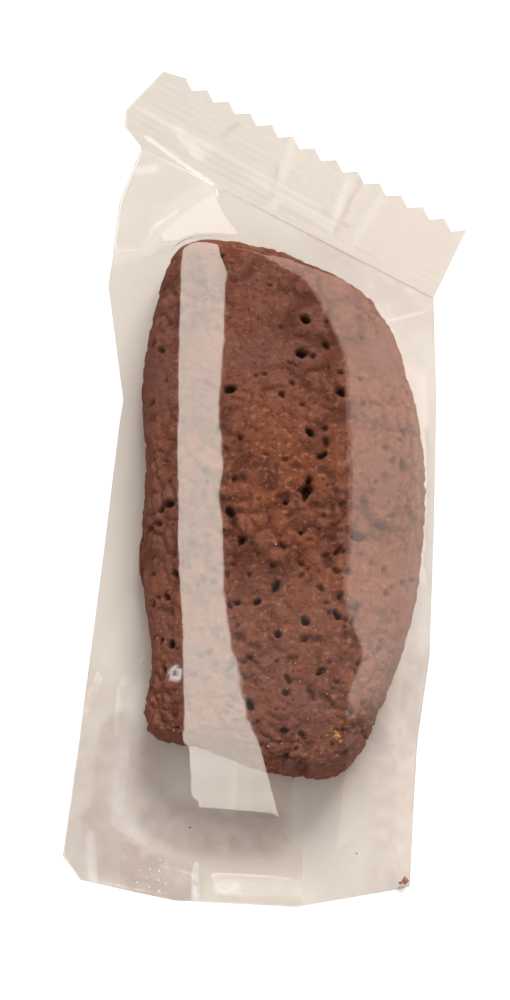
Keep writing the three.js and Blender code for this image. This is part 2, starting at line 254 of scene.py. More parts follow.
# Pale dots at the folded seal's crimp, painted as glints, as (x, lowest y, how many upwards).
CRIMP_COLUMNS = [(-19.9, -63.2, 2), (-18.3, -64, 3), (-16.9, -64.3, 4), (-15.6, -63.6, 3)]
CRIMP_STEP, CRIMP_SIZES = 1.5, (0.2, 0.38)
CRIMP_X, CRIMP_Y = (-0.3, 0.3), (-0.25, 0.25)  # how far the dots stray
# Creases across the end seal: raised, and painted white along them as highlights and milky haze, in the same
# terms.
SEAL_CREASES_AND_HIGHLIGHTS = [
    (0.22, 0.7, [(-20.7, 60.6), (-9.7, 54.2), (8, 44)]),
    (0.2, 0.8, [(-2.7, 49.1), (8.7, 41.8)]),
    (0.2, 0.8, [(4.2, 55.7), (0.7, 43.9)]),
    (0.22, 0.7, [(12.7, 48.7), (10, 39.9)]),
    (0.15, 0.7, [(17.9, 45.8), (13.8, 38.4)]),
    (0.35, 0.9, [(-14.4, 57), (-11, 52.5)]),
    (0.6, 0.35, [(-19.3, 55.4), (-14, 51.4), (-8.1, 47.2)]),
]
# Painted shade along the end seal's creases, in the same terms.
SEAL_CREASE_SHADE = [
    (0.25, 0.4, [(0.7, 45.7), (1.7, 50.8)]),
    (0.25, 0.4, [(10.8, 40), (15.2, 49.5)]),
    (0.2, 0.4, [(-7.4, 55.9), (-4.6, 58.4)]),
    (0.15, 0.6, [(-8.7, 53.3), (12.7, 41.2)]),
]

# The cake's pores that stand out, as (x, y, half length, half width, turn, depth) on its top.
LARGE_PORES = [
    (5.9, -3.7, 2.2, 0.75, 1.3, 2.2), (-6, 12.4, 0.95, 0.7, 0.2, 1.6), (11.6, 11.9, 1.1, 0.6, -0.7, 1.5),
    (5.9, 23.5, 0.95, 0.6, -0.6, 1.5), (5, 18.1, 1, 0.75, -0.3, 1.6), (6.4, 5.7, 1, 0.5, -0.8, 1.2),
    (2.8, -5.5, 0.6, 0.5, 0.4, 1), (-6.1, -6.7, 1.1, 0.7, -0.9, 1.2), (-4, -11.6, 0.7, 0.6, 0.3, 1.1),
    (1.3, -18.5, 0.9, 0.5, 1.3, 1.2), (5.2, -10.3, 0.6, 0.4, 1.4, 1), (-4.6, -21.2, 0.7, 0.6, 0, 1.2),
    (-1.6, -21, 0.7, 0.5, 0.5, 1.2), (5.9, -24.3, 0.6, 0.5, 0.2, 1.2), (10.6, -23, 0.9, 0.5, -1, 1.3),
    (1.6, -26.2, 0.6, 0.5, 0.8, 1.1), (-2.9, -37.3, 1.2, 0.95, -1.1, 1.6), (-5.7, -31, 0.8, 0.6, 0.9, 1.2),
    (12.9, -38.3, 0.5, 0.4, 0.3, 0.9), (-15.7, -5.3, 0.8, 0.7, 0, 1.3), (-14.8, -16.3, 0.7, 0.6, 0.6, 1.2),
    (-15.1, -27.1, 0.7, 0.5, 1.2, 1.2), (-18.2, -20.8, 0.8, 0.4, 1.4, 1), (13.8, -10.7, 1.1, 0.8, 0.2, 1.3),
    (18, -9.2, 1.1, 0.6, -0.4, 1), (8.4, 1.9, 1.2, 0.5, 0.6, 1), (-4.3, 4.7, 0.5, 0.4, -0.5, 0.8),
    (7.8, -32.1, 0.5, 0.4, 0.3, 0.9), (2.7, -45.2, 0.8, 0.5, 1.2, 1), (2.5, -40.9, 0.8, 0.5, -0.2, 0.9),
]
# Wider and softer hollows, in the same terms.
LARGE_HOLLOWS = [
    (-4, -1.9, 2, 0.9, -0.2, 0.7), (11.8, 1.9, 1.1, 0.8, 0.5, 0.6), (4.8, -13.9, 1.8, 1, 1.4, 0.9),
    (9.2, -14.6, 1.5, 1.1, -1.1, 1), (-4.3, -26.5, 1.4, 1, 0.1, 0.7), (6.6, -35.2, 1.5, 0.6, -1.2, 0.9),
    (-5.6, -8.2, 1.3, 1.2, -0.8, 0.8), (1.3, -18.9, 1.3, 1, 0.8, 0.7), (11.9, -26.4, 1.5, 0.9, 0.4, 0.7),
    (0.1, -24, 1.2, 0.9, 0.2, 0.6), (5.2, 18.6, 1.5, 1.3, 0, 0.6), (8.9, -37, 1.3, 0.8, 0.9, 0.6),
    (-8, 22, 1.3, 0.8, 0.9, 0.5), (9.6, 10.5, 1.5, 0.7, -0.9, 0.6), (3.5, -30, 1.2, 0.8, 0.4, 0.6),
]
# Pits scattered over the cake, as (how many, smallest size, largest size, depth for each mm of size).
HOLLOWS = (110, 0.5, 1.4, 0.55)
PITS = (460, 0.16, 0.55, 1.5)
PIT_X, PIT_Y = (-20, 25), (-47, 38)
PITS_ALONG = (0.4, (22, -12, 1))  # the share that is kept
PIT_LENGTHS = (1, 1.9)  # how many times as long as wide
PIT_TURNS = (-1.6, 1.6)
PIT_EDGE = 1.15  # where a pit ends, as a share of its half sizes
# How pits look, as (how ragged, how soft at the edge, how dark the painted shade in them is).
HOLLOW_LOOK = (1.6, 1.15, 0.9)
PIT_LOOK = (1.9, 0.8, 0.8)
PORE_LOOK = (1.5, 0.7, 1)
SUGAR_COUNT = 170
SUGAR_SIZES = (0.08, 0.17)
SUGAR_MIN_Z, SUGAR_MAX_Y = 9, 0
SUGAR_ALONG = (0.25, (-5, -35, 1))  # how densely the grains lie
PEEL_PLACE = (10.6, -41.8)
PEEL_BITS = [(0, 0, 0.1), (0.5, -0.7, 0), (-0.2, 0.7, 0)]
PEEL_SIZES = (0.75, 0.5, 0.45)
CRUMB_Z = UNDER_GAP + 0.45
CRUMB_PLACES = [(21.3, -62.8, 1.1), (20.6, -63.1, 0.9), (-12, -54.5, CRUMB_Z), (13.9, -58.5, CRUMB_Z)]
CRUMB_SIZES = (0.8, 0.5, 0.28, 0.25)

# ---- looks ----

# Where the cake is tan, on its top and near its tucked end, and where it is painted lighter along its left
# edge, to lift the shade that falls there.
TAN_MIDDLE, TAN_SPREAD = (2, -1), (13, 17)
TAN_MORE, TAN_ALONG = 0.7, (0.15, (-12, -30, 0.35))
TAN_WAVES = [(0.5, 6, 17)]
LEFT_LIFT_MOST, LEFT_LIFT_X, LEFT_LIFT_RIM = 0.32, (-4, -12), (2, 7)
LEFT_LIFT_WAVES = [(0.4, 3, 15)]

# Films, as (colour let through, haze, mirror share, roughness).
CLEAR_FILM = ((0.808, 0.769, 0.724), 0.001, 0.077, 0.07)
PRESSED_FILM = ((0.722, 0.69, 0.645), 0.05, 0.04, 0.22)
FOLDED_FILM = ((0.978, 0.968, 0.955), 0, 0.02, 0.22)
SHADE_AND_FOLD_TINT = (0.75, 0.7, 0.7)  # what painted shade and folded film let through of the tint
MILK_AND_HIGHLIGHT_COLOUR = (0.93, 0.9, 0.86)
MILK_AND_HIGHLIGHT_SHARE = 0.26  # how white film is where it is milky and where highlights are painted
MILK_AND_HIGHLIGHT_DULLS = 0.6  # and how much gloss it loses there
SLANT_MIRROR, SLANT_POWER = 0.15, 5
LOWER_GLOSS = 0.1
UNDER_MILKY = 0.05
BAND_CORE, BAND_END = 0.5, 1.4  # where a band fades and ends, in half widths
BAND_WAVES = [(0.25, 1.6, 41), (0.15, 0.7, 42)]

# Colours of the crumb. Low crumb, valleys, gaps and pores are darker as painted shade, crests lighter as a
# painted highlight, and the pale pink of the left edge is painted light.
CAKE_COLOURS = {
    "rosy": (0.18, 0.074, 0.058),
    "tan": (0.224, 0.074, 0.035),
    "crest": (0.31, 0.128, 0.077),
    "low": (0.125, 0.038, 0.023),
    "valley": (0.092, 0.03, 0.02),
    "crumb": (0.42, 0.205, 0.13),
    "gap": (0.09, 0.023, 0.012),
    "left_lift": (0.238, 0.098, 0.073),
    "pore": (0.03, 0.01, 0.005),
}
CRUMB_BUMP, CRUMB_BUMP_SIZE = 0.2, 0.42
# Grains, as (colour, roughness), and how they vary round it.
GRAIN_TONES, GRAIN_TONE_SIZE = (0.6, 1.3), 0.8
# Sugar is pale, so that its grains also stand for glints on the cake.
SUGAR_GLINT_LOOK = ((0.75, 0.62, 0.46), 0.25)
PEEL_LOOK = ((0.6, 0.3, 0.09), 0.5)
CRUMB_LOOK = ((0.3, 0.07, 0.03), 0.8)
# The crimp dots are pale, as painted glints.
CRIMP_GLINT_LOOK = ((0.8, 0.77, 0.72), 0.4)

TABLE_COLOUR = (0.9, 0.9, 0.9)
WORLD_COLOUR, WORLD_STRENGTH = (1, 0.94, 0.92), 0.71
KEY_COLOUR = (0.98, 1, 1.02)
STRIP_COLOUR = (1, 0.94, 0.84)
SIDE_COLOUR = (1, 0.76, 0.64)
TENT_COLOUR = (1, 0.965, 0.875)


# ---- shape helpers ----

def smoothstep(x, low, high):
    t = np.clip((x - low) / (high - low), 0, 1)
    return t * t * (3 - 2 * t)


def mix(a, b, t):
    return a + (b - a) * t


def along_line(points, share):
    """Points on a line of straight pieces, at shares of its length."""
    points = np.array(points, float)
    steps = np.hypot(*np.diff(points, axis=0).T)
    length = np.concatenate([[0], np.cumsum(steps)])
    return np.stack([np.interp(share * length[-1], length, points[:, k]) for k in (0, 1)], -1)


def closed_curve(points, count):
    """A smooth closed curve through points, as evenly spaced points."""
    p = np.array(points, float)
    before, after, later = np.roll(p, 1, 0), np.roll(p, -1, 0), np.roll(p, -2, 0)
    t = np.linspace(0, 1, CURVE_STEPS, endpoint=False)[:, None, None]
    bend = (after - before) * t + (2 * before - 5 * p + 4 * after - later) * t**2
    curve = 0.5 * (2 * p + bend + (3 * p - before - 3 * after + later) * t**3)
    curve = curve.transpose(1, 0, 2).reshape(-1, 2)
    return along_line(np.vstack([curve, curve[:1]]), np.linspace(0, 1, count, endpoint=False))


def patch(bottom, top, left, right, u, v):
    """A sheet between four edges (a Coons patch), with rows along v."""
    u, v = u[..., None], v[:, None, None]
    left, right = left[:, None], right[:, None]
    ruled = mix(bottom, top, v) + mix(left, right, u)
    corners = mix(mix(left[:1], right[:1], u), mix(left[-1:], right[-1:], u), v)
    return ruled - corners


def nearest_rim(points, rim):
    """How far points are from a closed outline, the way to it, and which are inside."""
    flat = points.reshape(-1, 2)
    x, y = flat.T
    gap = np.full(len(flat), np.inf)
    way = np.zeros_like(flat)
    inside = np.zeros(len(flat), bool)
    for a, b in zip(rim, np.roll(rim, -1, 0)):
        if a[1] != b[1]:
            crossing = a[0] + (y - a[1]) / (b[1] - a[1]) * (b[0] - a[0])
            inside ^= ((a[1] > y) != (b[1] > y)) & (x < crossing)
        step = a - flat
        reach = np.hypot(*step.T)
        near = reach < gap
        gap[near] = reach[near]
        way[near] = step[near]
    shape = points.shape[:-1]
    return gap.reshape(shape), way.reshape(points.shape), inside.reshape(shape)


def line_gap(points, line):
    """How far points are from an open line of straight pieces."""
    gap = np.full(points.shape[:-1], np.inf)
    for a, b in zip(np.array(line, float), np.array(line, float)[1:]):
        along = np.clip((points - a) @ (b - a) / ((b - a) @ (b - a)), 0, 1)[..., None]
        gap = np.minimum(gap, np.hypot(*np.moveaxis(points - a - along * (b - a), -1, 0)))
    return gap


def random_at(corners, seed):
    """A whole number up to 65535 for each lattice corner, the same each time."""
    factors = np.array([73856093, 19349663, 83492791])[: corners.shape[-1]]
    key = corners @ factors + seed * 2654435761
    key = (key ^ (key >> 13)) * 1274126177
    return (key ^ (key >> 16)) & 0xFFFF


def noise(points, size, seed):
    """Smooth random values from -1 to 1 that change over about size."""
    cell = points / size
    base = np.floor(cell).astype(np.int64)
    t = cell - base
    t = t * t * (3 - 2 * t)
    total = np.zeros(points.shape[:-1])
    for corner in np.ndindex(*(2,) * points.shape[-1]):
        value = random_at(base + corner, seed) / 32767.5 - 1
        total += value * np.prod(np.where(corner, t, 1 - t), axis=-1)
    return total


def waves(points, terms):
    """Smooth random waves added up, each as (height, size, seed)."""
    return sum(height * noise(points, size, seed) for height, size, seed in terms)


def plane(points, at, slope_x, slope_y):
    """Height of the plane through at with these slopes, over points."""
    return at[2] + slope_x * (points[..., 0] - at[0]) + slope_y * (points[..., 1] - at[1])


def changing(at, first, *changes):
    """A size that changes along the pack: first, and then with each (from, to, new size)."""
    size = first
    for start, end, later in changes:
        size = mix(size, later, smoothstep(at, start, end))
    return size


def crowded(count, amount):
    """Shares from 0 to 1 in count steps, drawn closer together towards both ends."""
    even = np.linspace(0, 1, count + 1)
    return mix(even, 0.5 - 0.5 * np.cos(np.pi * even), amount)


def folded(z, low, where, y, height, held, free):
    """The film pressed down to low by a fold, which lets it rise by height along y."""
    return np.where(where, np.minimum(z, low + height * smoothstep(y, held, free)), z)


def soften(z, weight, passes):
    """Draws each inner height towards the mean of its four neighbours."""
    for _ in range(passes):
        around = z[:-2, 1:-1] + z[2:, 1:-1] + z[1:-1, :-2] + z[1:-1, 2:]
        z[1:-1, 1:-1] = mix(z[1:-1, 1:-1], around / 4, weight)


def hold_border(z, held):
    z[0], z[-1], z[:, 0], z[:, -1] = held[0], held[-1], held[:, 0], held[:, -1]


def crown(depth):
    """The rounded rise of an edge, from 0 at its outline to 1."""
    depth = np.clip(depth, 0, 1)
    return (1 - (1 - depth) ** SHOULDER_POWER) ** (1 / SHOULDER_POWER)


# ---- the film's shape ----

CAKE_RIM = closed_curve(CAKE_OUTLINE, RIM_POINTS)
HELD_RIM = closed_curve(HELD_OUTLINE, RIM_POINTS)
ROOT_LINE = [LEFT_EDGE[-1], RIGHT_EDGE[-1]]


def held_height(points):
    """The smooth shape that holds the film up, and its flat facets at the tucked end."""
    gap, way, inside = nearest_rim(points, HELD_RIM)
    x, y = points[..., 0], points[..., 1]
    across = (way[..., 0] / np.maximum(gap, 1e-6)) ** 2
    reach = mix(END_SHOULDER, changing(y, *RIGHT_SHOULDER), across)
    round_edge = mix(CAKE_RIM_Z, CAKE_HEIGHT, crown(gap / reach))
    left = changing(y, *LEFT_SHOULDER)
    gentle_edge = CAKE_HEIGHT - left / LEFT_BEND * (1 - np.minimum(gap / left, 1)) ** LEFT_BEND
    z = mix(round_edge, gentle_edge, np.where(way[..., 0] < 0, across, 0))
    past = np.maximum(y - (FALL_START[1] + FALL_LEAN * (x - FALL_START[0])), 0)
    rounded = past**2 / (2 * FALL_ROUNDING)
    z -= FALL_SLOPE * np.where(past < FALL_ROUNDING, rounded, past - FALL_ROUNDING / 2)
    z = np.where(inside, z, 0)
    for facet in FACETS.values():
        z = folded(z, plane(points, *facet), y < FACETS_RELEASE[2], y, *FACETS_RELEASE)
    return z


def body_plan():
    v = np.linspace(0, 1, BODY_ROWS + 1)
    u = crowded(COLUMNS, changing(v, *BODY_CROWDING)[:, None])
    left, right = along_line(LEFT_EDGE, v), along_line(RIGHT_EDGE, v)
    return patch(along_line(TUCKED_EDGE, u), along_line(ROOT_LINE, u), left, right, u, v)


def border_heights():
    """The border's height: level along the sides, and higher at both ends."""
    v = np.linspace(0, 1, BODY_ROWS + 1)
    side = changing(v, TUCK_Z, (0, SIDES_LEVEL[0], SIDE_Z), (SIDES_LEVEL[1], 1, SEAL_ROOT_Z))
    return np.repeat(side[:, None], COLUMNS + 1, 1)


def finer(z):
    """The grid of heights with a new row and column between each two."""
    fine = np.empty((2 * z.shape[0] - 1, 2 * z.shape[1] - 1))
    fine[::2, ::2] = z
    fine[1::2, ::2] = (z[1:] + z[:-1]) / 2
    fine[:, 1::2] = (fine[:, :-1:2] + fine[:, 2::2]) / 2
    return fine


def stretch(plan, floor, border):
    """A sheet held at its border and stretched over floor, on ever finer grids."""
    coarse = STRETCH_PASSES[0][0]
    z = border[::coarse, ::coarse].copy()
    for stride, sweeps in STRETCH_PASSES:
        p, low, held = (grid[::stride, ::stride] for grid in (plan, floor, border))
        if z.shape != low.shape:
            z = finer(z)
        hold_border(z, held)
        across = 4 / np.sum((p[1:-1, 2:] - p[1:-1, :-2]) ** 2, -1)
        along = 4 / np.sum((p[2:, 1:-1] - p[:-2, 1:-1]) ** 2, -1)
        rows, columns = np.indices(across.shape)
        for _ in range(sweeps):
            for colour in (0, 1):
                pull = across * (z[1:-1, :-2] + z[1:-1, 2:]) + along * (z[:-2, 1:-1] + z[2:, 1:-1])
                here = z[1:-1, 1:-1]
                goal = (pull + INFLATION) / (2 * (across + along))
                moved = np.maximum(here + STRETCH_OVERSHOOT * (goal - here), low[1:-1, 1:-1])
                here[:] = np.where((rows + columns) % 2 == colour, moved, here)
    return z


def cake_edge(points):
    """Height of the cake's own rounded edge, and which points are inside it."""
    gap, _, inside = nearest_rim(points, CAKE_RIM)
    return np.where(inside, mix(CAKE_RIM_Z, CAKE_HEIGHT, crown(gap / CAKE_EDGE)), 0), inside


def past_fold(plan, start):
    """How far to the right of a leaning fold line points lie."""
    return np.maximum(plan[..., 0] - start[0] - FOLD_LEAN * (plan[..., 1] - start[1]), 0)


def pressed(plan, z, cake_floor):
    """The film with its inward folds: flange and wall at the left, and the tent at the seal."""
    x, y = plan[..., 0], plan[..., 1]
    stretched, side = z, z[:, :1]
    flange = side + FLANGE_SLOPE * past_fold(plan, FLANGE_START)
    wall = flange + WALL_SLOPE * past_fold(plan, WALL_START)
    z = folded(z, wall, x < WALL_MAX_X, y, *WALL_RELEASE)
    corner = np.minimum(plane(plan, *FACETS["left"]), plane(plan, *FACETS["beyond"]))
    z = folded(z, np.maximum(flange, corner), x < CORNER_MAX_X, y, *CORNER_RELEASE)
    tent = np.minimum(*(plane(plan, *facet) for facet in TENT))
    beside = z[:, :1] + TENT_SIDE_SLOPE * (x - plan[:, :1, 0])
    z = folded(z, np.maximum(beside, tent), y > TENT_MIN_Y, y, *TENT_RELEASE)
    return np.maximum(z, np.minimum(stretched, cake_floor))


def eased(plan, z, cake_floor):
    """The film with its creases softened where the facets run out over the cake."""
    away = np.abs(plan[1:-1, 1:-1, 1] - EASING_Y)
    soften(z, EASING_WEIGHT * (1 - smoothstep(away, *EASING_REACH)), EASING_PASSES)
    return np.maximum(z, cake_floor - EASING_DEPTH)


def tucked_end_height(plan):
    """The rounded end that the tucked film makes between its two flat corners."""
    x = plan[..., 0]
    run = np.hypot(*(plan - plan[:1]).transpose(2, 0, 1))
    rise = np.sqrt(1 - (1 - np.minimum(run / TUCK_BEND, 1)) ** 2)
    arch = smoothstep(x, *TUCK_RISE) * (1 - smoothstep(x, *TUCK_FALL))
    bulge = TUCK_BULGE + TUCK_SLOPE * (x - TUCK_SLOPE_X)
    return np.where(run < 3 * TUCK_BEND, TUCK_Z + bulge * rise * arch, 0)


def underside_height(plan, border):
    """The underside: flat on the table, curled up at its edges and lifted at the seal."""
    def run(to):
        return np.hypot(*(plan - to).transpose(2, 0, 1))

    def over(line, width):
        return 1 - smoothstep(line_gap(plan, line), width / 2, width / 2 + UNDER_BLEND)

    rim = np.minimum(np.minimum(run(plan[:, :1]), run(plan[:, -1:])), run(plan[:1]))
    curl = 1 - np.sqrt(1 - (1 - np.minimum(rim / ROLL, 1)) ** 2)
    lifted = SEAL_ROOT_Z * np.maximum(1 - run(plan[-1:]) / LIFT_OFF, 0)
    folded_under = UNDER_GAP * np.maximum(over(FIN_LINE, FIN_WIDTH), over(FLAP_LINE, FLAP_DEPTH))
    return np.maximum(np.maximum(border * curl, lifted), folded_under)


def film_sheets():
    """The film's plan, and the heights of its upper and lower sheets."""
    plan = body_plan()
    y = plan[..., 1]
    border = border_heights()
    held = held_height(plan) + CLEARANCE
    edge, inside = cake_edge(plan)
    cake_floor = np.where(inside, np.minimum(held, edge + CLEARANCE), 0)
    floor = np.where(y < AIR_MAX_Y, np.maximum(cake_floor, held), cake_floor)
    upper = eased(plan, pressed(plan, stretch(plan, floor, border), cake_floor), cake_floor)
    upper = np.maximum(upper, tucked_end_height(plan))
    upper += waves(plan, WOBBLES) * inside * (1 - smoothstep(y, *TOUCHING_END))
    upper[:, 0], upper[:, -1], upper[0] = border[:, 0], border[:, -1], border[0]
    lower = underside_height(plan, border)
    hold_border(lower, border)
    return plan, upper, lower


# ---- meshes ----

def link_object(name, data):
    obj = bpy.data.objects.new(name, data)
    bpy.context.scene.collection.objects.link(obj)
    return obj


def mesh_object(name, points, faces, smooth=True):
    """A mesh of points in millimetres and faces of point numbers."""
    mesh = bpy.data.meshes.new(name)
    mesh.from_pydata((np.asarray(points) * MM).tolist(), [], faces)
    mesh.validate()
    mesh.shade_smooth() if smooth else mesh.shade_flat()
    return link_object(name, mesh)


def vertex_values(mesh, name):
    """The mesh's co or normal at every vertex."""
    values = np.empty(len(mesh.vertices) * 3)
    mesh.vertices.foreach_get(name, values)
    return values.reshape(-1, 3)


def paint(obj, looks):
    """Gives the mesh a value at every point for each look."""
    for name, values in looks.items():
        layer = obj.data.attributes.new(name, "FLOAT", "POINT")
        layer.data.foreach_set("value", np.asarray(values, np.float32))


def grid_faces(numbers, flip=False):
    """The four-sided faces of a grid of point numbers."""
    a, b, c, d = numbers[:-1, :-1], numbers[:-1, 1:], numbers[1:, 1:], numbers[1:, :-1]
    faces = np.stack([a, b, c, d], -1).reshape(-1, 4)
    return faces[:, ::-1] if flip else faces


def points_at(plan, z):
    """One list of the points of a plan at the heights z."""
    return np.concatenate([plan, z[..., None]], -1).reshape(-1, 3)


def band_strength(plan, bands):
    """How strong bands along lines are: 0 is clear, 1 milky and 3 white, where white paints highlights."""
    milk_and_highlight = np.zeros(plan.shape[:-1])
    uneven = 1 + waves(plan, BAND_WAVES)
    for strength, half_width, line in bands:
        faded = smoothstep(line_gap(plan, line), BAND_CORE * half_width, BAND_END * half_width)
        milk_and_highlight = np.maximum(milk_and_highlight, strength * (1 - faded))
    return np.clip(milk_and_highlight * uneven, 0, 3)


def film_tube():
    """The film tube: an upper and a lower sheet that share their border."""
    plan, upper, lower = film_sheets()
    rows, columns = upper.shape
    top_numbers = np.arange(rows * columns).reshape(rows, columns)
    low_numbers = top_numbers.copy()
    inner = (rows - 2, columns - 2)
    low_numbers[1:-1, 1:-1] = rows * columns + np.arange(inner[0] * inner[1]).reshape(inner)
    top = points_at(plan, upper)
    low = points_at(plan[1:-1, 1:-1], lower[1:-1, 1:-1])
    faces = np.vstack([grid_faces(top_numbers), grid_faces(low_numbers, flip=True)])
    obj = mesh_object("film_tube", np.vstack([top, low]), faces.tolist())
    # White bands are painted highlights and milky haze, darker bands painted shade and folds.
    milk_and_highlight = band_strength(plan, TUBE_HIGHLIGHTS_AND_MILK)
    gloss = np.clip(1 - MILK_AND_HIGHLIGHT_DULLS * milk_and_highlight, 0, 1) * (1 - np.clip(band_strength(plan, TUBE_DULL), 0, 1))
    looks = {"milk_and_highlight": (milk_and_highlight, 0), "shade_and_folds": (band_strength(plan, TUBE_SHADE_AND_FOLDS), 0), "gloss": (gloss, LOWER_GLOSS)}
    paint(obj, {name: [*above.ravel(), *[below] * len(low)] for name, (above, below) in looks.items()})
    return obj


def toothed_cut(share):
    """The end seal's serrated cut, from its bent left end to its right end."""
    along = np.array([math.cos(SEAL_TURN), math.sin(SEAL_TURN)])
    inward = np.array([along[1], -along[0]])
    tooth = (share * TOOTH_COUNT)[:, None]
    valley = 1 - np.abs(2 * (tooth % 1) - 1)
    straight = np.array(SEAL_TIP) + (share[:, None] - 1) * FLAT_WIDTH * along
    cut = straight + valley * TOOTH_DEPTH * inward
    corner = np.array(FOLDED_CORNER[-1])
    bent = corner + (cut[COLUMNS // TOOTH_COUNT] - corner) * tooth
    return np.where(tooth < 1, bent, cut)


def slab(name, plan, z, milk_and_highlight):
    """A thin closed sheet about the heights z over a plan."""
    z, milk_and_highlight = (np.broadcast_to(values, plan.shape[:-1]) for values in (z, milk_and_highlight))
    count = z.size
    numbers = np.arange(count).reshape(z.shape)
    above = points_at(plan, z + SEAL_THICKNESS / 2)
    below = points_at(plan, z - SEAL_THICKNESS / 2)
    border = np.concatenate([numbers[0], numbers[1:, -1], numbers[-1, -2::-1], numbers[-2:0:-1, 0]])
    rim = np.stack([border, count + border, count + np.roll(border, -1), np.roll(border, -1)], -1)
    faces = np.vstack([grid_faces(numbers), grid_faces(numbers + count, flip=True), rim])
    obj = mesh_object(name, np.vstack([above, below]), faces.tolist())
    # Painted shade lies along the end seal's creases.
    looks = {"milk_and_highlight": milk_and_highlight, "shade_and_folds": band_strength(plan, SEAL_CREASE_SHADE), "gloss": np.ones(z.shape)}
    paint(obj, {name: np.tile(values.ravel(), 2) for name, values in looks.items()})
    return obj


def end_seal():
    """The serrated end seal: two films pressed into one creased band."""
    even = np.linspace(0, 1, COLUMNS + 1)
    v = np.linspace(0, 1, SEAL_ROWS + 1)
    u = np.repeat(even[None], SEAL_ROWS + 1, 0)
    left, right = along_line(FOLDED_CORNER, v), along_line([RIGHT_EDGE[-1], SEAL_TIP], v)
    plan = patch(along_line(ROOT_LINE, u), toothed_cut(even)[None], left, right, u, v)
    away = (plan - plan[0, 0]) @ (-math.sin(SEAL_TURN), math.cos(SEAL_TURN))
    # The creases are raised and painted white along them as highlights.
    creases = band_strength(plan, SEAL_CREASES_AND_HIGHLIGHTS)
    raised = SEAL_RIB_HEIGHT * np.sin(2 * np.pi * away / SEAL_RIB_PITCH)
    raised += SEAL_CREASE_HEIGHT * creases + SEAL_WARP * noise(plan, SEAL_WARP_SIZE, 5)
    z = mix(SEAL_ROOT_Z, SEAL_TIP_Z, away / SEAL_WIDTH) + raised * smoothstep(away, *SEAL_RIBS_FROM)
    return slab("end_seal", plan, z, creases)


def fin_seal():
    """The seal along the pack's back, folded flat under it, with fine ribs across."""
    middle = along_line(FIN_LINE, np.linspace(0, 1, FIN_ROWS))
    aside = np.linspace(-FIN_WIDTH / 2, FIN_WIDTH / 2, FIN_COLUMNS)
    plan = np.stack([middle[:, None, 0] + aside, middle[:, None, 1] + 0 * aside], -1)
    z = UNDER_Z + FIN_RIB_HEIGHT * np.sin(2 * np.pi * plan[..., 1] / SEAL_RIB_PITCH)
    return slab("fin_seal", plan, z, UNDER_MILKY)


def tucked_seal():
    """The other end's seal, folded under the pack."""
    u = np.linspace(0, 1, FLAP_COLUMNS)
    v = np.linspace(0, 1, FLAP_ROWS)[:, None]
    x = np.repeat(mix(*FLAP_ENDS, u)[None], FLAP_ROWS, 0)
    tooth = (x - FLAP_ENDS[0]) / (FLAT_WIDTH / TOOTH_COUNT)
    cut = FLAP_LINE[1][1] + FLAP_DEPTH / 2 - TOOTH_DEPTH * np.abs(2 * (tooth % 1) - 1)
    edge = np.interp(x, *np.array(TUCKED_EDGE).T) + FLAP_INSET
    plan = np.stack([x, mix(edge, cut, v)], -1)
    return slab("tucked_seal", plan, UNDER_Z, UNDER_MILKY)


# ---- materials ----

def new_material(name):
    material = bpy.data.materials.new(name)
    material.use_nodes = True
    material.node_tree.nodes.clear()
    return material, material.node_tree


def add_node(tree, kind, inputs, output=0, **settings):
    """A new node's output. Its inputs are numbers, colours or the outputs of other nodes."""
    node = tree.nodes.new("ShaderNode" + kind)
    for name, value in settings.items():
        setattr(node, name, value)
    for name, value in inputs.items():
        if isinstance(value, bpy.types.NodeSocket):
            tree.links.new(value, node.inputs[name])
        else:
            node.inputs[name].default_value = (*value, 1) if isinstance(value, tuple) else value
    return node.outputs[output]


def to_output(tree, shader):
    tree.links.new(shader, tree.nodes.new("ShaderNodeOutputMaterial").inputs["Surface"])


def math_node(tree, operation, *values):
    return add_node(tree, "Math", dict(enumerate(values)), operation=operation)


def attribute_node(tree, name):
    return add_node(tree, "Attribute", {}, "Fac", attribute_name=name)


def shader_mix(tree, share, first, second):
    return add_node(tree, "MixShader", {0: share, 1: first, 2: second})


def colour_mix(tree, share, first, second):
    return add_node(tree, "Mix", {"Factor": share, "A": first, "B": second}, "Result", data_type="RGBA")


def share_between(tree, value, low, high):
    """A share that is 0 where value is low and 1 where it is high."""
    return add_node(tree, "MapRange", {"Value": value, "From Min": low, "From Max": high}, "Result")


def grain_node(tree, size, detail):
    """A random pattern that changes over about size, in millimetres."""
    place = add_node(tree, "TexCoord", {}, "Object")
    return add_node(tree, "TexNoise", {"Vector": place, "Scale": 1 / (size * MM), "Detail": detail}, "Fac")


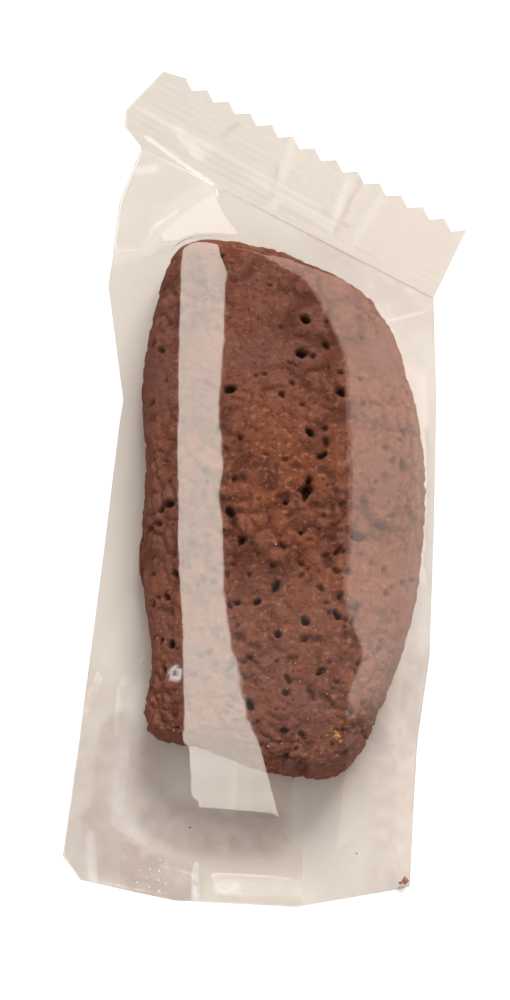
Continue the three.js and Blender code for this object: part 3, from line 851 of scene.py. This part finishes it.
def film_material(name, tint, haze, mirror, roughness):
    """Clear film, which mirrors more at a slant and is slightly tinted and hazy, with painted highlights and
    painted shade from its attributes.
    """
    material, tree = new_material(name)
    slant = add_node(tree, "LayerWeight", {"Blend": 0.5}, "Facing")
    steep = math_node(tree, "POWER", slant, SLANT_POWER)
    mirror_share = math_node(tree, "MULTIPLY_ADD", steep, SLANT_MIRROR, mirror)
    mirror_share = math_node(tree, "MULTIPLY", mirror_share, attribute_node(tree, "gloss"))
    clear = add_node(tree, "BsdfTransparent", {"Color": tint})
    # Painted shade, with a pink cast for light bounced off the cake, and folded film.
    darkened = add_node(tree, "BsdfTransparent", {"Color": tuple(a * b for a, b in zip(tint, SHADE_AND_FOLD_TINT))})
    see_through = shader_mix(tree, attribute_node(tree, "shade_and_folds"), clear, darkened)
    white = add_node(tree, "BsdfDiffuse", {"Color": MILK_AND_HIGHLIGHT_COLOUR})
    white_share = math_node(tree, "MULTIPLY_ADD", attribute_node(tree, "milk_and_highlight"), MILK_AND_HIGHLIGHT_SHARE, haze)
    body = shader_mix(tree, white_share, see_through, white)
    gloss = add_node(tree, "BsdfAnisotropic", {"Color": (1, 1, 1), "Roughness": roughness})
    to_output(tree, shader_mix(tree, mirror_share, body, gloss))
    return material


# ---- the cake ----

def cake_plan():
    """The cake's plan as a sheet between four stretches of its outline."""
    marks = [int(np.argmin(np.hypot(*(CAKE_RIM - corner).T))) for corner in CAKE_CORNERS]

    def stretch_of(start, end, way, share):
        # the outline from one mark to the next, going round in one direction
        at = (start + way * share * (((end - start) * way) % RIM_POINTS)) % RIM_POINTS
        low = np.floor(at).astype(int)
        return mix(CAKE_RIM[low % RIM_POINTS], CAKE_RIM[(low + 1) % RIM_POINTS], (at - low)[..., None])

    u = np.repeat(crowded(CAKE_COLUMNS, CAKE_CROWDING)[None], CAKE_ROWS + 1, 0)
    v = crowded(CAKE_ROWS, CAKE_CROWDING)
    # the outline runs clockwise: up the left side, along the top, down the right
    bottom, top = stretch_of(marks[0], marks[1], -1, u), stretch_of(marks[3], marks[2], 1, u)
    left, right = stretch_of(marks[0], marks[3], 1, v), stretch_of(marks[1], marks[2], -1, v)
    return patch(bottom, top, left, right, u, v)


def scattered_pits(rng, count, smallest, largest, depth):
    """Pits at random places on the cake, more of them towards its tucked end."""
    pits = []
    while len(pits) < count:
        x, y = rng.uniform(*PIT_X), rng.uniform(*PIT_Y)
        size = smallest + (largest - smallest) * rng.random() ** 2
        if rng.random() < changing(y, *PITS_ALONG):
            pits.append((x, y, size * rng.uniform(*PIT_LENGTHS), size, rng.uniform(*PIT_TURNS), size * depth))
    return pits


def dig(pits, points, sunk, dark, ragged, raggedness, softness, darkest):
    """Lowers the surface in each pit, and paints shade into it."""
    for x, y, half_length, half_width, turn, depth in pits:
        near = np.flatnonzero(np.abs(points[:, :2] - (x, y)).max(1) < 2 * half_length)
        step = points[near, :2] - (x, y)
        along = step @ (math.cos(turn), math.sin(turn))
        aside = step @ (-math.sin(turn), math.cos(turn))
        reach = np.hypot(along / half_length, aside / half_width) + raggedness * ragged[near]
        hole = smoothstep(reach, PIT_EDGE, PIT_EDGE - softness)
        sunk[near] += depth * hole
        dark[near] = np.maximum(dark[near], hole * darkest * min(1, 0.3 + 0.7 * depth))


def cell_depth(points, size, seed):
    """How much nearer points are to one of a loose lattice of seeds than to the next, in cell sizes."""
    cell = points / size
    base = np.floor(cell).astype(np.int64)
    reach = []
    for step in np.ndindex(3, 3):
        corner = base + np.array(step) - 1
        shift = np.stack([random_at(corner, seed + 31 * axis) for axis in (0, 1)], -1) / 65535
        reach.append(np.hypot(*(corner + shift - cell).T))
    reach = np.sort(np.array(reach), axis=0)
    return reach[1] - reach[0]


def rounded(depth, width, power, level):
    """The rounded height of a cell at depths inside its border."""
    return np.clip(depth / width, 0, 1) ** power - level


def cake_relief(points, rng):
    """How far the crumb lies below the smooth surface, the shade painted in its pores and valleys, and its
    height.
    """
    y = points[:, 1]
    warp = np.stack([waves(points, terms) for terms in WARP_WAVES], -1)
    unrolled = points[:, :2] * (1 + (CAKE_HEIGHT - points[:, 2:]) * UNROLL)
    cells = [cell_depth(unrolled + share * warp, size, seed) for share, size, seed in CRUMB_CELLS]
    # Valleys between clumps are sunk, and painted darker as shade.
    valley = 1 - smoothstep(cells[0], *VALLEY_WIDTH)
    valley *= smoothstep(waves(points, VALLEY_WAVES), *VALLEY_RANGE) * changing(y, *VALLEYS_ALONG)
    swell = waves(points, SWELL_WAVES)
    broken = smoothstep(waves(points, BROKEN_WAVES) - BROKEN_SLOPE * y, *BROKEN_RANGE)
    raised = swell + waves(points, BUMP_WAVES)
    for cell, shape, heights in zip(cells[1:], CELL_SHAPES, CELL_HEIGHTS):
        raised += mix(*heights, broken) * rounded(cell, *shape)
    sunk = CRUMB_DEPTH - raised + VALLEY_DEPTH * valley
    dark = np.zeros(len(points))
    ragged = waves(points, RAGGED_WAVES)
    hollows = LARGE_HOLLOWS + scattered_pits(rng, *HOLLOWS)
    # Hollows paint shade into the valleys' colour, and pits and pores into their own dark colour.
    dig(hollows, points, sunk, valley, ragged, *HOLLOW_LOOK)
    dig(scattered_pits(rng, *PITS), points, sunk, dark, ragged, *PIT_LOOK)
    dig(LARGE_PORES, points, sunk, dark, ragged, *PORE_LOOK)
    height = np.clip(0.5 + changing(y, *CONTRAST_ALONG) * (raised - swell), 0, 1)
    return sunk, dark, valley, height


def cake_base():
    """The cake's smooth form: a rounded top, sides that run in, and a flat base."""
    plan = cake_plan()
    z = np.minimum(cake_edge(plan)[0], held_height(plan))
    hold_border(z, np.full(z.shape, CAKE_RIM_Z))
    soften(z, *CAKE_SOFTENING)
    top = points_at(plan, np.maximum(z, CAKE_RIM_Z))
    numbers = np.arange(len(top)).reshape(z.shape)
    rim = np.concatenate([numbers[0, :-1], numbers[:-1, -1], numbers[-1, :0:-1], numbers[:0:-1, 0]])
    middle = top[rim].mean(0)
    turns = np.linspace(0, math.pi / 2, 9)[1:]
    under = [(mix(CAKE_BASE_SHARE, 1, math.cos(a)), mix(CAKE_RIM_Z, CAKE_BASE_Z, math.sin(a))) for a in turns]
    under += [(CAKE_BASE_SHARE * share, CAKE_BASE_Z) for share in BASE_RINGS]
    points, faces, outer = [top], [grid_faces(numbers)], rim
    count = len(top)
    for scale, height in under:
        ring = middle + (top[rim] - middle) * scale
        ring[:, 2] = height
        points.append(ring)
        inner = np.arange(count, count + len(rim))
        faces.append(np.stack([outer, inner, np.roll(inner, -1), np.roll(outer, -1)], -1))
        count += len(rim)
        outer = inner
    points.append([[middle[0], middle[1], CAKE_BASE_Z]])
    fan = np.stack([outer, np.full(len(outer), count), np.roll(outer, -1)], -1)
    return np.vstack(points), [*np.vstack(faces).tolist(), *fan.tolist()]


def cake_piece():
    """The cake: its crumb is dug into the smooth form, and its colours, with painted shade and highlights, are
    attributes.
    """
    points, faces = cake_base()
    obj = mesh_object("cake", points, faces)
    mesh = obj.data
    normals = vertex_values(mesh, "normal")
    sunk, dark, valley, height = cake_relief(points, np.random.default_rng(12))
    above = smoothstep(points[:, 2], CAKE_BASE_Z, CAKE_BASE_Z + CRUMB_FADE)
    upright = mix(0.75, 1, np.clip(normals[:, 2], 0, 1) ** 0.7)
    moved = points - normals * (sunk * upright * above)[:, None]
    moved[:, 2] = np.maximum(moved[:, 2], CAKE_LOWEST_Z)
    mesh.vertices.foreach_set("co", (moved * MM).ravel())
    mesh.update()
    x, y = points[:, 0], points[:, 1]
    tan = changing(y, *TAN_ALONG) + waves(points, TAN_WAVES)
    tan += TAN_MORE * np.exp(-np.sum(((points[:, :2] - TAN_MIDDLE) / TAN_SPREAD) ** 2, -1))
    gap, _, _ = nearest_rim(points[:, :2], CAKE_RIM)
    left_lift = LEFT_LIFT_MOST * smoothstep(x, *LEFT_LIFT_X) * (1 - smoothstep(gap, *LEFT_LIFT_RIM)) * (1 + waves(points, LEFT_LIFT_WAVES))
    # Pores, valleys and low crumb carry painted shade, crests a painted highlight, and the left edge painted
    # light.
    looks = {"pore": dark * above, "valley": valley * above, "tan": np.clip(tan, 0, 1), "left_lift": left_lift}
    looks["height"] = mix(0.5, height, above)
    paint(obj, looks)
    return obj


def scattered(name, places, sizes, rng):
    """Small uneven eight-sided grains at places, all in one mesh."""
    corners = np.array([(1, 0, 0), (0, 1, 0), (-1, 0, 0), (0, -1, 0), (0, 0, 1), (0, 0, -1)], float)
    sides = [(0, 1, 4), (1, 2, 4), (2, 3, 4), (3, 0, 4), (1, 0, 5), (2, 1, 5), (3, 2, 5), (0, 3, 5)]
    points, faces = [], []
    for place, size in zip(places, sizes):
        faces += [[k + len(points) for k in side] for side in sides]
        points += list(np.array(place) + size * corners * rng.uniform(0.5, 1.0, (6, 1)))
    return mesh_object(name, points, faces, smooth=False)


def crimp_glints(film):
    """Raised white dots, painted glints, where the folded seal's crimp shows at the film's corner."""
    rng = np.random.default_rng(8)
    upper = vertex_values(film.data, "co")[: (BODY_ROWS + 1) * (COLUMNS + 1)] / MM
    places = []
    for x, lowest, count in CRIMP_COLUMNS:
        for y in lowest + CRIMP_STEP * np.arange(count) + rng.uniform(*CRIMP_Y, count):
            at = (x + rng.uniform(*CRIMP_X), y)
            places.append(upper[np.argmin(np.hypot(*(upper[:, :2] - at).T))])
    return scattered("crimp_glints", places, rng.uniform(*CRIMP_SIZES, len(places)), rng)


def grain_material(name, colour, roughness):
    """An uneven grain, from darker to lighter than its colour."""
    material, tree = new_material(name)
    dark, light = (tuple(min(1, share * c) for c in colour) for share in GRAIN_TONES)
    tone = colour_mix(tree, grain_node(tree, GRAIN_TONE_SIZE, 2), dark, light)
    to_output(tree, add_node(tree, "BsdfPrincipled", {"Base Color": tone, "Roughness": roughness}))
    return material


def loose_bits(cake):
    """Sugar grains, pale to stand also for glints, and an orange crumb on the cake's tucked half, and crumbs
    inside the film.
    """
    rng = np.random.default_rng(5)
    points = vertex_values(cake.data, "co") / MM
    top = points[(points[:, 2] > SUGAR_MIN_Z) & (points[:, 1] < SUGAR_MAX_Y)]
    top = top[rng.random(len(top)) < changing(top[:, 1], *SUGAR_ALONG)]
    chosen = top[rng.choice(len(top), SUGAR_COUNT, replace=False)]
    sugar_glints = scattered("sugar_glints", chosen, rng.uniform(*SUGAR_SIZES, SUGAR_COUNT), rng)
    near = np.argmin(np.hypot(*(points[:, :2] - PEEL_PLACE).T) - points[:, 2])
    peel = scattered("peel_crumb", points[near] + np.array(PEEL_BITS), PEEL_SIZES, rng)
    crumbs = scattered("crumbs", CRUMB_PLACES, CRUMB_SIZES, rng)
    return sugar_glints, peel, crumbs


def cake_material():
    """Baked sponge: uneven browns, lighter crumbs and a fine bump, with painted shade in pores, valleys, gaps
    and low crumb, painted highlights on crests and painted light on the left rim.
    """
    material, tree = new_material("cake_crumb")
    tan, height = attribute_node(tree, "tan"), attribute_node(tree, "height")
    crumbs = share_between(tree, grain_node(tree, 0.8, 2.5), 0.54, 0.72)
    # Gaps between grains are painted dark as shade.
    gaps = share_between(tree, grain_node(tree, 0.65, 2.5), 0.45, 0.30)
    # Over the rosy base, tan and the lighter crumbs are the crumb's own tones; the rest paint highlights on
    # crests, shade in low crumb, valleys, gaps and pores, and light on the left edge.
    layers = {
        "tan": tan,
        "crest": share_between(tree, height, 0.56, 0.95),
        "low": share_between(tree, height, 0.48, 0.10),
        "valley": attribute_node(tree, "valley"),
        "crumb": math_node(tree, "MULTIPLY", crumbs, math_node(tree, "MULTIPLY_ADD", tan, 0.45, 0.2)),
        "gap": math_node(tree, "MULTIPLY", gaps, 0.6),
        "left_lift": attribute_node(tree, "left_lift"),
        "pore": share_between(tree, attribute_node(tree, "pore"), 0.05, 0.85),
    }
    colour = CAKE_COLOURS["rosy"]
    for name, share in layers.items():
        colour = colour_mix(tree, share, colour, CAKE_COLOURS[name])
    bumps = {"Height": grain_node(tree, CRUMB_BUMP_SIZE, 4), "Distance": CRUMB_BUMP * MM, "Strength": 1}
    normal = add_node(tree, "Bump", bumps, "Normal")
    surface = {"Base Color": colour, "Normal": normal, "Roughness": 0.82, "Specular IOR Level": 0.05}
    to_output(tree, add_node(tree, "BsdfPrincipled", surface))
    return material


# ---- the stage ----

def aim(obj, place, target):
    """Puts obj at place, in millimetres, with its -Z axis towards target."""
    place, target = Vector(place) * MM, Vector(target) * MM
    obj.location = place
    obj.rotation_euler = (target - place).to_track_quat("-Z", "Y").to_euler()


def area_light(name, place, size, power, colour=(1, 1, 1), seen_in_gloss=False):
    """A softbox that faces the pack, for surfaces or only for the film's gloss."""
    light = bpy.data.lights.new(name, "AREA")
    light.shape = "RECTANGLE"
    light.size, light.size_y = size[0] * MM, size[1] * MM
    light.energy = power
    light.color = colour
    obj = link_object(name, light)
    aim(obj, place, (0, 0, 0))
    obj.visible_glossy = seen_in_gloss
    obj.visible_diffuse = obj.visible_transmission = not seen_in_gloss
    return obj


def reflection_card(name, middle, half_u, half_v, radiance, colour):
    """A card that only the film's gloss sees, from its middle and two half sides."""
    middle, half_u, half_v = (Vector(v) for v in (middle, half_u, half_v))
    size = (2 * half_u.length, 2 * half_v.length)
    power = radiance * math.pi * size[0] * size[1] * MM * MM
    light = area_light(name, middle, size, power, colour, seen_in_gloss=True)
    facing = half_u.cross(half_v).normalized()
    if facing.dot(middle) < 0:
        facing, half_v = -facing, -half_v
    basis = np.array([half_u.normalized(), half_v.normalized(), facing]).T
    light.rotation_euler = Matrix(basis.tolist()).to_euler()


def card_between(height, x_angles, y_angles):
    """The middle and half sides of a level card that spans these angles in degrees."""
    x0, x1 = (height * math.tan(math.radians(a)) for a in x_angles)
    y0, y1 = (height * math.tan(math.radians(a)) for a in y_angles)
    return ((x0 + x1) / 2, (y0 + y1) / 2, height), ((x1 - x0) / 2, 0, 0), (0, (y1 - y0) / 2, 0)


def table():
    """A wide white table just under the pack, which the film's gloss does not mirror."""
    half = 3000
    corners = [(x * half, y * half, FLOOR_Z - 0.02) for x, y in ((-1, -1), (1, -1), (1, 1), (-1, 1))]
    floor = mesh_object("floor", corners, [(0, 1, 2, 3)], smooth=False)
    material, tree = new_material("white_table")
    to_output(tree, add_node(tree, "BsdfDiffuse", {"Color": TABLE_COLOUR}))
    floor.data.materials.append(material)
    floor.visible_glossy = False


def lights():
    """The world and two softboxes light the surfaces. The cards make the lit strips on the film."""
    world = bpy.data.worlds.new("studio")
    world.use_nodes = True
    background = world.node_tree.nodes["Background"]
    background.inputs["Color"].default_value = (*WORLD_COLOUR, 1)
    background.inputs["Strength"].default_value = WORLD_STRENGTH
    bpy.context.scene.world = world
    world.cycles_visibility.glossy = False

    area_light("sky", place=(0, 0, 1100), size=(1500, 1500), power=1.5)
    area_light("key", place=(300, 850, 820), size=(700, 450), power=17.2, colour=KEY_COLOUR)
    strip = card_between(height=600, x_angles=(-50, -9), y_angles=(-38, 76))
    reflection_card("strip_card", *strip, radiance=5.3, colour=STRIP_COLOUR)
    # the side card fades out towards the tucked end, in steps of (from y, to y, share of its light)
    for near, far, share in ((-260, -195, 0.33), (-195, -130, 0.67), (-130, 900, 1)):
        y, half = (near + far) / 2, (0, (far - near) / 2, 0)
        reflection_card("side_card_edge", (137, y, 605), (10, 0, -19), half, 1.2 * share, SIDE_COLOUR)
        reflection_card("side_card", (672, y, -444), (525, 0, -1030), half, 2.4 * share, SIDE_COLOUR)
    tent = ((-602, 768, 225), (140, 110, 0), (0, 0, 140))
    reflection_card("tent_card", *tent, radiance=2.0, colour=TENT_COLOUR)


def camera():
    """The camera looks down on the pack, slightly from its tucked end."""
    elevation = math.radians(80)
    distance = 620
    view_height = 157  # of the stretch of table that fills the picture from top to bottom
    target = Vector((-1.95, -3.4, 5))
    data = bpy.data.cameras.new("camera")
    data.sensor_width = 36
    data.lens = data.sensor_width * distance / view_height
    data.clip_start, data.clip_end = 0.01, 20
    obj = link_object("camera", data)
    back = Vector((0, -math.cos(elevation), math.sin(elevation)))
    aim(obj, target + back * distance, target)
    bpy.context.scene.camera = obj


# ---- assembly ----

def dress(piece, material, slot):
    piece.data.materials.append(material)
    piece.visible_shadow = piece.visible_diffuse = slot != "film"
    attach(piece, BODY)


camera()
table()
lights()
bpy.context.scene.view_settings.view_transform = "Standard"

film = film_tube()
dress(film, film_material("clear_film", *CLEAR_FILM), "film")
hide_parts(NODE)
dress(end_seal(), film_material("pressed_film", *PRESSED_FILM), "film")
folded_film = film_material("folded_film", *FOLDED_FILM)
dress(fin_seal(), folded_film, "film")
dress(tucked_seal(), folded_film, "film")
dress(crimp_glints(film), grain_material("crimp", *CRIMP_GLINT_LOOK), "film")
cake = cake_piece()
dress(cake, cake_material(), "cake")
sugar_glints, peel, crumbs = loose_bits(cake)
dress(sugar_glints, grain_material("sugar_glints", *SUGAR_GLINT_LOOK), "cake")
dress(peel, grain_material("peel", *PEEL_LOOK), "cake")
dress(crumbs, grain_material("crumb", *CRUMB_LOOK), "cake")
